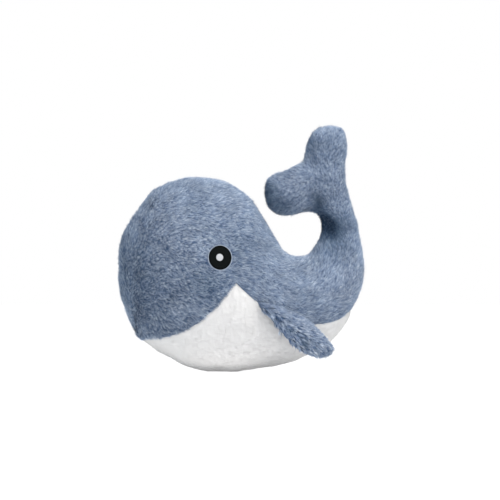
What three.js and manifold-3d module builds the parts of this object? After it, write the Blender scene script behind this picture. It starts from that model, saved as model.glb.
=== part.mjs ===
// Plush whale, lying on its belly with its tail curled up over its back.
// Millimetres, +Z up. The nose points to -X and the tail to +X.
// The whale's left side, the one that the photograph shows, faces -Y.
// The floor is z = 0 and the origin is below the middle of the whole toy.

import * as THREE from "three";
import Module from "manifold-3d";

const wasm = await Module();
wasm.setup();

// Overall sizes of the stuffed body
const length = 249; // nose to the back of the tail's root
const height = 250; // floor to the tip of the rear fluke
const bodyDepth = 122; // across the cheeks
const footDepth = 0.5; // how far the soft belly is pressed flat by the floor

// Cloth, wadding and the gaps that keep the pieces apart
const bodyCloth = 2.6; // backing and pressed pile of the body's panels
const flipperCloth = 1.5; // the same on the small flippers
const clearance = 0.35;
const weld = 0.0001; // corners of a solid closer than this are one

// Flippers
const rootLift = 0.3; // the sewn root stands this far off the body's pile
const flipperLength = 86; // along the root's line, root to tip
const flipperReach = 46; // away from the root's line
const flipperThickness = 13;
const flipperSpread = 40; // degrees that the hanging flipper stands off the side

// Eyes
const eyeWidth = 24;
const eyeHeight = 25.4;
const eyeCloth = 1.2;
const glintWidth = 7.6;
const glintHeight = 8;
const glintCloth = 0.8;

// How finely the forms are faceted
const bodyAround = 22;
const insideAround = 14;
const flukeAround = 10;
const flipperAround = 8;
const bodyRings = 2; // rings from rib to rib
const flipperRings = 1;
const eyeFacets = 24;
const probes = 8; // places along the flipper's root at which the body's bulge is felt

// The side view. x runs from the nose to the back of the tail's root, as a share of the length,
// and z from the floor to the tip of the rear fluke, as a share of the height.
// Each rib is [upper x, upper z, lower x, lower z, half depth as a share of half the body's].
const bodyRibShares = [
  [0, 0.425, 0, 0.425, 0],
  [0.01, 0.535, 0.01, 0.325, 0.27],
  [0.045, 0.612, 0.045, 0.225, 0.52],
  [0.095, 0.678, 0.078, 0.15, 0.7],
  [0.157, 0.745, 0.14, 0.104, 0.85],
  [0.235, 0.78, 0.225, 0.052, 0.955],
  [0.33, 0.789, 0.32, 0.014, 1],
  [0.43, 0.77, 0.415, 0, 0.975],
  [0.52, 0.722, 0.51, 0.002, 0.92],
  [0.585, 0.63, 0.61, 0.02, 0.84],
  [0.64, 0.538, 0.715, 0.045, 0.75],
  [0.69, 0.484, 0.825, 0.098, 0.65],
  [0.735, 0.47, 0.915, 0.195, 0.55],
  [0.785, 0.49, 0.98, 0.32, 0.45],
  [0.822, 0.55, 1, 0.425, 0.37],
  [0.829, 0.61, 0.978, 0.565, 0.325],
  [0.804, 0.644, 0.951, 0.658, 0.3],
  [0.79, 0.735, 0.93, 0.745, 0.28],
  [0.8, 0.8, 0.905, 0.8, 0.21],
  [0.853, 0.86, 0.853, 0.86, 0],
];
// Front fluke, from its tip into the tail
const frontFlukeShares = [
  [0.595, 0.725, 0.595, 0.725, 0],
  [0.612, 0.782, 0.61, 0.668, 0.15],
  [0.655, 0.81, 0.65, 0.64, 0.22],
  [0.7, 0.83, 0.7, 0.637, 0.255],
  [0.745, 0.85, 0.75, 0.643, 0.27],
  [0.8, 0.84, 0.815, 0.655, 0.275],
  [0.9, 0.76, 0.9, 0.76, 0],
];
// Rear fluke, from its tip down into the tail
const rearFlukeShares = [
  [0.862, 1, 0.862, 1, 0],
  [0.915, 0.98, 0.81, 0.984, 0.15],
  [0.93, 0.935, 0.777, 0.94, 0.22],
  [0.926, 0.87, 0.762, 0.89, 0.255],
  [0.923, 0.81, 0.75, 0.84, 0.27],
  [0.93, 0.745, 0.785, 0.76, 0.28],
  [0.942, 0.675, 0.81, 0.68, 0.26],
  [0.888, 0.6, 0.888, 0.6, 0],
];
const widestShare = 0.46; // where a rib is widest, from its lower end
const roundness = 2; // an ellipse towards the seam along the back
const bellyRoundness = 2.7; // flatter across the belly where the body is broad, as a gusset lies

// Seam between the blue side panel and the white belly panel, from chin to tail
const bellySeamShares = [
  [-0.05, 0.13],
  [0.09, 0.136],
  [0.181, 0.143],
  [0.258, 0.166],
  [0.329, 0.206],
  [0.392, 0.263],
  [0.437, 0.316],
  [0.477, 0.364],
];
const tailSeamShares = [
  [0.477, 0.364],
  [0.514, 0.327],
  [0.563, 0.287],
  [0.636, 0.24],
  [0.717, 0.208],
  [0.803, 0.196],
  [0.888, 0.211],
  [0.937, 0.247],
  [1.05, 0.34],
];
// Lines at which the wadding is packed apart: below the tail, below the flukes, between them
const tailCutShares = [
  [0.7, 0.524],
  [0.99, 0.08],
];
const forkCutShares = [
  [0.7, 0.6],
  [1.1, 0.71],
];
const lobeCutShares = [
  [0.72, 0.94],
  [0.9, 0.62],
];

// Where the flippers are sewn on and where the eyes lie, in the side view
const rootFrontShare = [0.576, 0.288];
const rootRearShare = [0.731, 0.236];
const eyeShare = [0.4146, 0.4635];

// Flipper outline as shares of its length along the root and of its reach away from it.
// Each rib is [upper along, upper away, lower along, lower away, half thickness share].
const flipperRibShares = [
  [0, 0.06, 0, 0.06, 0],
  [0.05, 0.02, 0.06, 0.19, 0.4],
  [0.16, 0.004, 0.2, 0.46, 0.72],
  [0.31, 0, 0.37, 0.71, 0.93],
  [0.47, 0.015, 0.54, 0.9, 1],
  [0.64, 0.1, 0.7, 0.99, 0.97],
  [0.8, 0.29, 0.84, 0.99, 0.86],
  [0.93, 0.52, 0.945, 0.9, 0.62],
  [1, 0.72, 1, 0.72, 0],
];
const flipperRoundness = 1.5; // two flat panels sewn edge to edge make a pointed section

const left = -1;
const right = 1;

// A point of the side view in real sizes. The lowest rib reaches below the floor by the foot's depth.
function sidePoint(x, y, z) {
  return new THREE.Vector3((x - 1 / 2) * length, y, z * (height + footDepth) - footDepth);
}

// A solid from points and triangles, with its faces turned outward
function closedSolid(points, triangles) {
  let volume = 0;
  for (const [a, b, c] of triangles) {
    volume += points[a].dot(new THREE.Vector3().crossVectors(points[b], points[c]));
  }
  const turned = volume < 0 ? triangles.map(([a, b, c]) => [a, c, b]) : triangles;
  const vertProperties = new Float32Array(points.flatMap((p) => [p.x, p.y, p.z]));
  const triVerts = new Uint32Array(turned.flat());
  return new wasm.Manifold(new wasm.Mesh({ numProp: 3, vertProperties, triVerts }));
}

// Two guide curves through the ribs' ends, moved inward by the inset, and the half depths between them.
// The upper guide's y coordinate carries the half depth.
function ringsBetween(ribs, inset, ringsPerRib) {
  const upper = new THREE.CatmullRomCurve3(ribs.map((rib) => rib.upper));
  const lower = new THREE.CatmullRomCurve3(ribs.map((rib) => rib.lower));
  const count = (ribs.length - 1) * ringsPerRib;
  const rings = [];
  for (let i = 0; i <= count; i++) {
    const [high, low] = [upper.getPoint(i / count), lower.getPoint(i / count)];
    const [alongHigh, alongLow] = [upper.getTangent(i / count), lower.getTangent(i / count)];
    alongHigh.setY(0).normalize();
    alongLow.setY(0).normalize();
    const { y: breadth } = high;
    high.add(new THREE.Vector3(alongHigh.z, 0, -alongHigh.x).multiplyScalar(inset)).setY(0);
    low.add(new THREE.Vector3(-alongLow.z, 0, alongLow.x).multiplyScalar(inset)).setY(0);
    rings.push({ high, low, breadth, half: breadth - inset });
  }
  return rings;
}

// A swelling and tapering form through the ribs, closed to a point at both ends.
// The inset draws its surface in, or out where it is negative.
function form(ribs, inset, { ringsPerRib, around, edge, flattest, broadest, widest }) {
  const rings = ringsBetween(ribs, inset, ringsPerRib);
  const first = rings[0].high.clone().lerp(rings[0].low, 1 / 2);
  const last = rings.at(-1).high.clone().lerp(rings.at(-1).low, 1 / 2);
  const points = [first];
  for (const { high, low, half, breadth } of rings.slice(1, -1)) {
    const flatter = THREE.MathUtils.lerp(edge, flattest, breadth / broadest);
    const middle = low.clone().lerp(high, widest);
    const up = high.clone().sub(middle);
    const down = low.clone().sub(middle);
    for (let k = 0; k < around; k++) {
      const angle = (2 * Math.PI * k) / around;
      const [c, s] = [Math.cos(angle), Math.sin(angle)];
      const bend = 2 / (c > 0 ? edge : flatter);
      const point = middle.clone().addScaledVector(c > 0 ? up : down, Math.abs(c) ** bend);
      point.y = half * Math.sign(s) * Math.abs(s) ** bend;
      points.push(point);
    }
  }
  points.push(last);
  const triangles = [];
  const end = points.length - 1;
  const lastRing = end - around;
  for (let k = 0; k < around; k++) {
    const next = (k + 1) % around;
    triangles.push([0, 1 + k, 1 + next]);
    triangles.push([end, lastRing + next, lastRing + k]);
    for (let at = 1; at < lastRing; at += around) {
      triangles.push([at + k, at + around + k, at + around + next]);
      triangles.push([at + k, at + around + next, at + next]);
    }
  }
  return closedSolid(points, triangles);
}

function sideRibs(shares) {
  return shares.map(([ux, uz, lx, lz, half]) => ({
    upper: sidePoint(ux, (half * bodyDepth) / 2, uz),
    lower: sidePoint(lx, 0, lz),
  }));
}

function bodyForm(inset) {
  return form(sideRibs(bodyRibShares), inset, {
    ringsPerRib: bodyRings,
    around: inset > 0 ? insideAround : bodyAround,
    edge: roundness,
    flattest: bellyRoundness,
    broadest: bodyDepth / 2,
    widest: widestShare,
  });
}

function flukeForm(shares, inset) {
  return form(sideRibs(shares), inset, {
    ringsPerRib: bodyRings,
    around: flukeAround,
    edge: roundness,
    flattest: roundness,
    broadest: bodyDepth / 2,
    widest: 1 / 2,
  });
}

function whaleForm(inset) {
  return bodyForm(inset).add(flukeForm(frontFlukeShares, inset)).add(flukeForm(rearFlukeShares, inset));
}

// A three.js geometry as a solid that can be cut
function solidOf(geometry) {
  const index = geometry.index;
  const position = geometry.attributes.position;
  const seen = new Map();
  const points = [];
  const place = [];
  for (let i = 0; i < position.count; i++) {
    const point = new THREE.Vector3().fromBufferAttribute(position, i);
    const key = point.toArray().map((v) => Math.round(v / weld)).join();
    if (!seen.has(key)) {
      seen.set(key, points.length);
      points.push(point);
    }
    place.push(seen.get(key));
  }
  const corners = index ? Array.from(index.array) : place.map((_, i) => i);
  const triangles = [];
  for (let i = 0; i < corners.length; i += 3) {
    const [a, b, c] = corners.slice(i, i + 3).map((corner) => place[corner]);
    if (a !== b && b !== c && c !== a) triangles.push([a, b, c]);
  }
  return closedSolid(points, triangles);
}

// A slab with a side-view outline, right through the toy. Its outline may be moved up.
function sideSlab(outline, lift) {
  const span = 2 * (bodyDepth + flipperReach);
  const geometry = new THREE.ExtrudeGeometry(outline, { depth: span, bevelEnabled: false, curveSegments: 2 });
  geometry.rotateX(Math.PI / 2).translate(0, span / 2, lift);
  return solidOf(geometry);
}

function flat(point) {
  return new THREE.Vector2(point.x, point.z);
}

function flatPoints(shares) {
  return shares.map(([x, z]) => flat(sidePoint(x, 0, z)));
}

// Everything below the belly seam
function belowSeam(lift) {
  const front = flatPoints(bellySeamShares);
  const rear = flatPoints(tailSeamShares);
  const outline = new THREE.Shape();
  outline.moveTo(front[0].x, front[0].y);
  outline.splineThru(front.slice(1));
  outline.splineThru(rear.slice(1));
  outline.lineTo(rear.at(-1).x, -height);
  outline.lineTo(front[0].x, -height);
  outline.closePath();
  return sideSlab(outline, lift);
}

// Everything on the right-hand side of a line that runs through the side view, moved away by the gap
function beyondLine(shares, gap) {
  const [start, end] = flatPoints(shares);
  const along = end.clone().sub(start).normalize();
  const away = new THREE.Vector2(along.y, -along.x);
  const far = 2 * (length + height);
  const corners = [start.clone().addScaledVector(along, -far), end.clone().addScaledVector(along, far)];
  for (const corner of corners) corner.addScaledVector(away, gap);
  corners.push(corners[1].clone().addScaledVector(away, far), corners[0].clone().addScaledVector(away, far));
  return sideSlab(new THREE.Shape(corners), 0);
}

// A box that holds everything on one side of the toy's middle plane, a half gap away from it
function oneSide(side) {
  const span = 2 * (bodyDepth + flipperReach);
  const geometry = new THREE.BoxGeometry(2 * length, span, 3 * height);
  return solidOf(geometry.translate(0, side * ((span + clearance) / 2), 0));
}

// The solid with every corner moved by a rule
function moved(solid, rule) {
  const { numProp, vertProperties, triVerts } = solid.getMesh();
  const points = [];
  for (let i = 0; i < vertProperties.length; i += numProp) {
    points.push(rule(new THREE.Vector3(...vertProperties.slice(i, i + 3))));
  }
  const triangles = [];
  for (let i = 0; i < triVerts.length; i += 3) triangles.push(Array.from(triVerts.slice(i, i + 3)));
  return closedSolid(points, triangles);
}

function aboveFloor() {
  const span = 2 * (bodyDepth + flipperReach);
  const geometry = new THREE.BoxGeometry(2 * length, span, 2 * height);
  return solidOf(geometry.translate(0, 0, height));
}

const group = new THREE.Group();
group.name = "plush_whale";

function addNode(name, solid, color, roughness) {
  const { numProp, vertProperties, triVerts } = solid.getMesh();
  const positions = new Float32Array((vertProperties.length / numProp) * 3);
  for (let i = 0; i < positions.length / 3; i++) {
    positions.set(vertProperties.slice(i * numProp, i * numProp + 3), i * 3);
  }
  const geometry = new THREE.BufferGeometry();
  geometry.setAttribute("position", new THREE.BufferAttribute(positions, 3));
  geometry.setIndex(Array.from(triVerts));
  geometry.computeVertexNormals();
  const material = new THREE.MeshStandardMaterial({ color, roughness, metalness: 0 });
  const mesh = new THREE.Mesh(geometry, material);
  mesh.name = name;
  group.add(mesh);
}

const blue = 0x7d8dab;
const white = 0xe6e6e9;
const waddingWhite = 0xf2f1ee;
const black = 0x1b1d1c;
const glintGrey = 0xdcdde1;
const pileRoughness = 0.95;
const feltRoughness = 0.85;

// Cloth skin of the body: two side panels and the belly panel between them
const outer = whaleForm(0);
const skin = outer.subtract(whaleForm(bodyCloth)).intersect(aboveFloor());
const upperSkin = skin.subtract(belowSeam(0));
addNode("side_panel_left", upperSkin.intersect(oneSide(left)), blue, pileRoughness);
addNode("side_panel_right", upperSkin.intersect(oneSide(right)), blue, pileRoughness);
addNode("belly_panel", skin.intersect(belowSeam(-clearance)), white, pileRoughness);

// Wadding, packed as the body, the tail and the two flukes
const wadding = whaleForm(bodyCloth + clearance);
const tailAndFlukes = wadding.subtract(beyondLine(tailCutShares, -clearance));
const flukes = tailAndFlukes.subtract(beyondLine(forkCutShares, -clearance));
const packed = {
  body_wadding: wadding.intersect(beyondLine(tailCutShares, 0)),
  tail_wadding: tailAndFlukes.intersect(beyondLine(forkCutShares, 0)),
  front_fluke_wadding: flukes.intersect(beyondLine(lobeCutShares, 0)),
  rear_fluke_wadding: flukes.subtract(beyondLine(lobeCutShares, -clearance)),
};
for (const [name, solid] of Object.entries(packed)) addNode(name, solid, waddingWhite, pileRoughness);

// The body's surface beside a point of the side view, found along a line across the toy
const body = bodyForm(0).getMesh();
const bodyGeometry = new THREE.BufferGeometry();
bodyGeometry.setAttribute("position", new THREE.BufferAttribute(body.vertProperties, body.numProp));
bodyGeometry.setIndex(Array.from(body.triVerts));
const bodySurface = new THREE.Mesh(bodyGeometry, new THREE.MeshBasicMaterial({ side: THREE.DoubleSide }));
function surfaceAt(point, side) {
  const from = new THREE.Vector3(point.x, side * bodyDepth, point.z);
  const ray = new THREE.Raycaster(from, new THREE.Vector3(0, -side, 0));
  return ray.intersectObject(bodySurface)[0].point;
}

// The flipper's own directions: along its root, away from it, and out of its outer face.
// Its root line clears the body's surface, which bulges between the line's ends.
function flipperFrame(side) {
  const front = sidePoint(rootFrontShare[0], 0, rootFrontShare[1]);
  const rear = sidePoint(rootRearShare[0], 0, rootRearShare[1]);
  const start = surfaceAt(front, side);
  const along = surfaceAt(rear, side).sub(start).normalize();
  const outward = new THREE.Vector3(0, side, 0);
  outward.addScaledVector(along, -along.y * side).normalize();
  const down = new THREE.Vector3().crossVectors(outward, along).multiplyScalar(side);
  let bulge = 0;
  for (let i = 1; i < probes; i++) {
    const point = surfaceAt(front.clone().lerp(rear, i / probes), side);
    bulge = Math.max(bulge, point.sub(start).dot(outward));
  }
  const origin = start.clone().addScaledVector(outward, bulge + clearance + rootLift);
  const spread = THREE.MathUtils.degToRad(flipperSpread);
  const away = down.clone().multiplyScalar(Math.cos(spread)).addScaledVector(outward, Math.sin(spread));
  const face = outward.clone().multiplyScalar(Math.cos(spread)).addScaledVector(down, -Math.sin(spread));
  return { origin, along, away, face };
}

// The flipper lies flat while it is made: x along the root, -z away from it, y through its thickness
function flipperForm(inset) {
  const ribs = flipperRibShares.map(([ua, uw, la, lw, half]) => ({
    upper: new THREE.Vector3(ua * flipperLength, (half * flipperThickness) / 2, -uw * flipperReach),
    lower: new THREE.Vector3(la * flipperLength, 0, -lw * flipperReach),
  }));
  return form(ribs, inset, {
    ringsPerRib: flipperRings,
    around: flipperAround,
    edge: flipperRoundness,
    flattest: flipperRoundness,
    broadest: flipperThickness / 2,
    widest: 1 / 2,
  });
}

const flipperSkin = flipperForm(0).subtract(flipperForm(flipperCloth));
const flipperPieces = {
  outer_panel: [flipperSkin.intersect(oneSide(right)), blue],
  inner_panel: [flipperSkin.intersect(oneSide(left)), blue],
  wadding: [flipperForm(flipperCloth + clearance), waddingWhite],
};
for (const [word, side] of [["left", left], ["right", right]]) {
  const { origin, along, away, face } = flipperFrame(side);
  for (const [piece, [solid, color]] of Object.entries(flipperPieces)) {
    const placed = moved(solid, (p) =>
      origin.clone().addScaledVector(along, p.x).addScaledVector(away, -p.z).addScaledVector(face, p.y),
    );
    addNode(`flipper_${word}_${piece}`, placed, color, pileRoughness);
  }
}

// A flat oval prism that stands on the body's surface at the eye
function eyePrism(side, width, tall) {
  const at = sidePoint(eyeShare[0], 0, eyeShare[1]);
  const ahead = new THREE.Vector3(eyeWidth / 2, 0, 0);
  const above = new THREE.Vector3(0, 0, eyeHeight / 2);
  const across = surfaceAt(at.clone().add(ahead), side).sub(surfaceAt(at.clone().sub(ahead), side));
  const rise = surfaceAt(at.clone().add(above), side).sub(surfaceAt(at.clone().sub(above), side));
  const normal = new THREE.Vector3().crossVectors(across, rise).normalize();
  rise.crossVectors(normal, across).normalize();
  across.normalize();
  const oval = new THREE.Shape().absellipse(0, 0, width / 2, tall / 2, 0, 2 * Math.PI);
  const curveSegments = eyeFacets / 2;
  const prism = new THREE.ExtrudeGeometry(oval, { depth: eyeWidth, bevelEnabled: false, curveSegments });
  prism.translate(0, 0, -eyeWidth / 2);
  prism.applyMatrix4(new THREE.Matrix4().makeBasis(across, rise, normal).setPosition(surfaceAt(at, side)));
  return solidOf(prism);
}

// A layer of cloth that lies on the body's surface between two heights above it
function layer(from, to) {
  return bodyForm(-to).subtract(bodyForm(-from));
}

const eyeTop = clearance + eyeCloth;
const eyeLayer = layer(clearance, eyeTop);
const glintLayer = layer(eyeTop + clearance, eyeTop + clearance + glintCloth);
for (const [word, side] of [["left", left], ["right", right]]) {
  addNode(`eye_${word}`, eyeLayer.intersect(eyePrism(side, eyeWidth, eyeHeight)), black, feltRoughness);
  const glint = glintLayer.intersect(eyePrism(side, glintWidth, glintHeight));
  addNode(`eye_glint_${word}`, glint, glintGrey, feltRoughness);
}

export default group;
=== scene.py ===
import math

import bpy
import numpy as np
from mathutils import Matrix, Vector
from mathutils.bvhtree import BVHTree
from mathutils.kdtree import KDTree


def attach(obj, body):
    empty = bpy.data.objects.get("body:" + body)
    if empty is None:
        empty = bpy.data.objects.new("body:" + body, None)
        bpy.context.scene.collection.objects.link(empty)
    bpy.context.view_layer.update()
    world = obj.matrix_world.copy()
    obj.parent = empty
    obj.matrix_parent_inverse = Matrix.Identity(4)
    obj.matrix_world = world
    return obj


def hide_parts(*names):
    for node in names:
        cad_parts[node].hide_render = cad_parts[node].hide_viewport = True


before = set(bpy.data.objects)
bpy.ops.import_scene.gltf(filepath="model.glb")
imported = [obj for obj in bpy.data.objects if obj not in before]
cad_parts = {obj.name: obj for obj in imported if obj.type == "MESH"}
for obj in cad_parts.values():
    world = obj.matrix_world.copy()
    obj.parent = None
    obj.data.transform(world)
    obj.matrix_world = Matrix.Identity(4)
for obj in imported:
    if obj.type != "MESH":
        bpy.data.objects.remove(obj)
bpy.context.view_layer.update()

MM = 0.001

# sizes in millimetres, as in the part's source
LENGTH, HEIGHT, DEPTH, FOOT = 249.0, 250.0, 122.0, 0.5
# each rib: x and z of its upper end, x and z of its lower end, and its depth, as shares of the whole
BODY_RIBS = [
    [0, .425, 0, .425, 0], [.01, .535, .01, .325, .27], [.045, .612, .045, .225, .52],
    [.095, .678, .078, .15, .7], [.157, .745, .14, .104, .85], [.235, .78, .225, .052, .955],
    [.33, .789, .32, .014, 1], [.43, .77, .415, 0, .975], [.52, .722, .51, .002, .92],
    [.585, .63, .61, .02, .84], [.64, .538, .715, .045, .75], [.69, .484, .825, .098, .65],
    [.735, .47, .915, .195, .55], [.785, .49, .98, .32, .45], [.822, .55, 1, .425, .36],
    [.829, .61, .978, .565, .29], [.804, .644, .951, .658, .26], [.79, .735, .93, .745, .26],
    [.8, .8, .905, .8, .2], [.853, .86, .853, .86, 0],
]
FRONT_FLUKE = [
    [.595, .725, .595, .725, 0], [.612, .782, .61, .668, .17], [.655, .81, .65, .64, .25],
    [.7, .83, .7, .637, .29], [.745, .85, .75, .643, .305], [.8, .84, .815, .655, .3],
    [.9, .76, .9, .76, 0],
]
REAR_FLUKE = [
    [.862, 1, .862, 1, 0], [.915, .98, .81, .984, .15], [.93, .935, .777, .94, .22],
    [.926, .87, .762, .89, .255], [.923, .81, .75, .84, .27], [.93, .745, .785, .76, .28],
    [.942, .675, .81, .68, .26], [.888, .6, .888, .6, 0],
]
BELLY_SEAM = [
    [-.05, .13], [.09, .136], [.181, .143], [.258, .166], [.329, .206], [.392, .263], [.437, .316],
    [.477, .364],
]
TAIL_SEAM = [
    [.477, .364], [.514, .327], [.563, .287], [.636, .24], [.717, .208], [.803, .196], [.888, .211],
    [.937, .247], [1.05, .34],
]
FLIPPER_RIBS = [
    [0, .06, 0, .06, 0], [.05, .02, .06, .19, .4], [.16, .004, .2, .46, .72], [.31, 0, .37, .71, .93],
    [.47, .015, .54, .9, 1], [.64, .1, .7, .99, .97], [.8, .29, .84, .99, .86],
    [.93, .48, .945, .88, .62], [1, .65, 1, .65, 0],
]
LOWER_EDGE_SHARES = [0, 0, 1.9, 1.1, .2, .35, .8, 1, .8]
LOWER_EDGE_IN = 3.2
FLIP_LENGTH, FLIP_REACH, FLIP_THICK = 86.0, 46.0, 13.0
# where each flipper is sewn on: its origin, and the ways along its root, away from it and out of its face
FLIPPERS = {
    "left": [
        [19.09, -52.91, 71.59],
        [.92172, .23164, -.31108], [-.10389, -.6253, -.77344], [.37369, -.74521, .55229],
    ],
    "right": [
        [19.09, 53.0, 71.59],
        [.92129, -.23355, -.31094], [-.10273, .62501, -.77383], [.37507, .74486, .55182],
    ],
}
EYE_AT, EYE_WIDE, EYE_TALL = [.4146, .4635], 24.0, 25.4
GLINT_WIDE, GLINT_TALL = 7.0, 7.3

SKIN = 2.3  # the cloth's backing lies this far inside the pile's tips before the stuffing swells it
SWELL = 2.2  # how far the stuffing may swell it
SKIN_VOXEL = 4.2  # the cell size of the mesh that is swollen
SEAM_HOLD = 7.0  # a seam holds the skin back this far to each side
TAIL_FULLER = 1.3  # how much fuller the tail's stalk is than its ribs
SEAM_DEEP, MIDDLE_SEAM_DEEP = 0.5, 0.6  # how deep the belly's seam and the middle seam draw the cloth in
BLUE_DENSITY, WHITE_DENSITY, FLIPPER_DENSITY = 3.3, 1.9, 3.0  # fibres on each square millimetre
BLUE_LONG, WHITE_LONG, FLIPPER_LONG, TUFT_LONG = 4.4, 1.6, 4.2, 8.5
BLUE_WIDE, WHITE_WIDE, FLIPPER_WIDE, TUFT_WIDE = 0.27, 0.36, 0.33, 0.36
BLUE_LEAN, WHITE_LEAN, TUFT_LEAN = 1.12, 1.38, 1.0  # how far the pile leans over, in radians


def side_point(x, y, z):
    return np.array([(x - 0.5) * LENGTH, y, z * (HEIGHT + FOOT) - FOOT])


# lofted forms
CLOSE = 1e-4  # points this close count as one
ROUND = 2  # the exponent of an elliptic section
BODY_FLATTEST, BODY_WIDEST = 2.7, 0.46  # the body is fuller below, and widest below its middle
FLIPPER_SECTION = 1.6


def catmull(points, ts):
    """A centripetal Catmull-Rom curve through the points."""
    p = np.asarray(points, float)
    n = len(p)
    out = []
    for t in np.clip(ts, 0, 1):
        f = (n - 1) * t
        i = int(math.floor(f))
        w = f - i
        if i >= n - 1:
            i, w = n - 2, 1.0
        p1, p2 = p[i], p[i + 1]
        p0 = p[i - 1] if i > 0 else 2 * p[0] - p[1]
        p3 = p[i + 2] if i + 2 < n else 2 * p[-1] - p[-2]
        d0, d1, d2 = (((a - b) ** 2).sum() ** 0.25 for a, b in ((p0, p1), (p1, p2), (p2, p3)))
        d1 = 1.0 if d1 < CLOSE else d1
        d0 = d1 if d0 < CLOSE else d0
        d2 = d1 if d2 < CLOSE else d2
        t1 = ((p1 - p0) / d0 - (p2 - p0) / (d0 + d1) + (p2 - p1) / d1) * d1
        t2 = ((p2 - p1) / d1 - (p3 - p1) / (d1 + d2) + (p3 - p2) / d2) * d1
        square = -3 * p1 + 3 * p2 - 2 * t1 - t2
        cube = 2 * p1 - 2 * p2 + t1 + t2
        out.append(p1 + t1 * w + square * w * w + cube * w ** 3)
    return np.array(out)


def loft(upper, lower, inset, count, around, edge, flattest, broadest, widest, span=(0, 1), thinner=None):
    """A closed form through ribs given by their upper and lower ends. The upper end's y is the half depth.
    edge and flattest are the exponents of its section above and below the widest place."""
    ts = np.linspace(span[0], span[1], count + 1)
    high, low = catmull(upper, ts), catmull(lower, ts)
    step = 1e-4
    run_high = catmull(upper, ts + step) - catmull(upper, ts - step)
    run_low = catmull(lower, ts + step) - catmull(lower, ts - step)
    for run in (run_high, run_low):
        run[:, 1] = 0
        run /= np.linalg.norm(run, axis=1)[:, None] + 1e-12
    breadth = high[:, 1].copy()
    level = np.zeros_like(breadth)
    high = high + np.stack([run_high[:, 2], level, -run_high[:, 0]], 1) * inset
    low = low + np.stack([-run_low[:, 2], level, run_low[:, 0]], 1) * inset
    high[:, 1] = 0
    low[:, 1] = 0
    half = breadth - (inset if thinner is None else thinner)
    angle = 2 * np.pi * np.arange(around) / around
    c, s = np.cos(angle), np.sin(angle)
    points = [(high[0] + low[0]) / 2]
    for i in range(1, count):
        flatter = edge + (flattest - edge) * breadth[i] / broadest
        middle = low[i] + (high[i] - low[i]) * widest
        bend = np.where(c > 0, 2 / edge, 2 / flatter)
        toward = np.where((c > 0)[:, None], high[i] - middle, low[i] - middle)
        ring = middle + toward * (np.abs(c) ** bend)[:, None]
        ring[:, 1] = max(half[i], 0.3) * np.sign(s) * np.abs(s) ** bend
        points.extend(ring)
    points.append((high[-1] + low[-1]) / 2)
    points = np.array(points)
    k = np.arange(around)
    nxt = (k + 1) % around
    end = len(points) - 1
    last = end - around
    tris = [np.stack([np.zeros_like(k), 1 + k, 1 + nxt], 1)]
    tris.append(np.stack([np.full_like(k, end), last + nxt, last + k], 1))
    for at in range(1, last, around):
        tris.append(np.stack([at + k, at + around + k, at + around + nxt], 1))
        tris.append(np.stack([at + k, at + around + nxt, at + nxt], 1))
    return outward(points, np.concatenate(tris))


def outward(points, tris):
    """The same mesh, with its triangles turned to face out."""
    a, b, c = points[tris[:, 0]], points[tris[:, 1]], points[tris[:, 2]]
    if (a * np.cross(b, c)).sum() < 0:
        tris = tris[:, ::-1]
    return points, tris


def side_ribs(shares):
    upper = [side_point(upper_x, depth * DEPTH / 2, upper_z) for upper_x, upper_z, _, _, depth in shares]
    lower = [side_point(lower_x, 0, lower_z) for _, _, lower_x, lower_z, _ in shares]
    return upper, lower


def side_loft(shares, inset, per_rib, around, flattest, widest, span):
    """A form through the ribs of the side view, drawn in by the inset."""
    upper, lower = side_ribs(shares)
    count = (len(shares) - 1) * per_rib
    return loft(upper, lower, inset, count, around, ROUND, flattest, DEPTH / 2, widest, span)


def body_loft(inset, per_rib=6, around=72, span=(0, 1)):
    return side_loft(BODY_RIBS, inset, per_rib, around, BODY_FLATTEST, BODY_WIDEST, span)


def fluke_loft(shares, inset, per_rib=6, around=48, span=(0, 1)):
    return side_loft(shares, inset, per_rib, around, ROUND, 0.5, span)


def flipper_loft(start, run, upper_inset, lower_inset, thinner, per_rib=5, around=40):
    """start and run place its length, the two insets draw its edges in, and thinner its faces."""
    upper = [
        np.array([along * run + start, depth * FLIP_THICK / 2, -away * FLIP_REACH])
        for along, away, _, _, depth in FLIPPER_RIBS
    ]
    lower = [np.array([along * run + start, 0, -away * FLIP_REACH]) for _, _, along, away, _ in FLIPPER_RIBS]
    for q, share in zip(lower, LOWER_EDGE_SHARES):
        q[2] += share * LOWER_EDGE_IN
    for q in upper[1:-1]:
        q[2] -= upper_inset
    for q in lower[1:]:
        q[2] += lower_inset
    upper[-1][2] = lower[-1][2]
    count = (len(FLIPPER_RIBS) - 1) * per_rib
    section = FLIPPER_SECTION
    return loft(upper, lower, 0, count, around, section, section, FLIP_THICK / 2, 0.5, thinner=thinner)


# mesh helpers
def new_mesh(name, points, faces):
    """faces is an array of triangles, or a list of arrays with one count of corners each."""
    groups = faces if isinstance(faces, list) else [faces]
    me = bpy.data.meshes.new(name)
    me.vertices.add(len(points))
    me.vertices.foreach_set("co", (np.asarray(points, float) * MM).astype(np.float32).ravel())
    corners = np.concatenate([g.ravel() for g in groups]).astype(np.int32)
    sizes = np.concatenate([np.full(len(g), g.shape[1]) for g in groups])
    me.loops.add(len(corners))
    me.loops.foreach_set("vertex_index", corners)
    me.polygons.add(len(sizes))
    me.polygons.foreach_set("loop_start", (np.cumsum(sizes) - sizes).astype(np.int32))
    me.polygons.foreach_set("use_smooth", np.ones(len(sizes), bool))
    me.update(calc_edges=True)
    me.validate()
    return me


def new_object(name, me):
    ob = bpy.data.objects.new(name, me)
    bpy.context.scene.collection.objects.link(ob)
    return ob


def set_points(ob, metres):
    ob.data.vertices.foreach_set("co", metres.astype(np.float32).ravel())
    ob.data.update()


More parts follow.
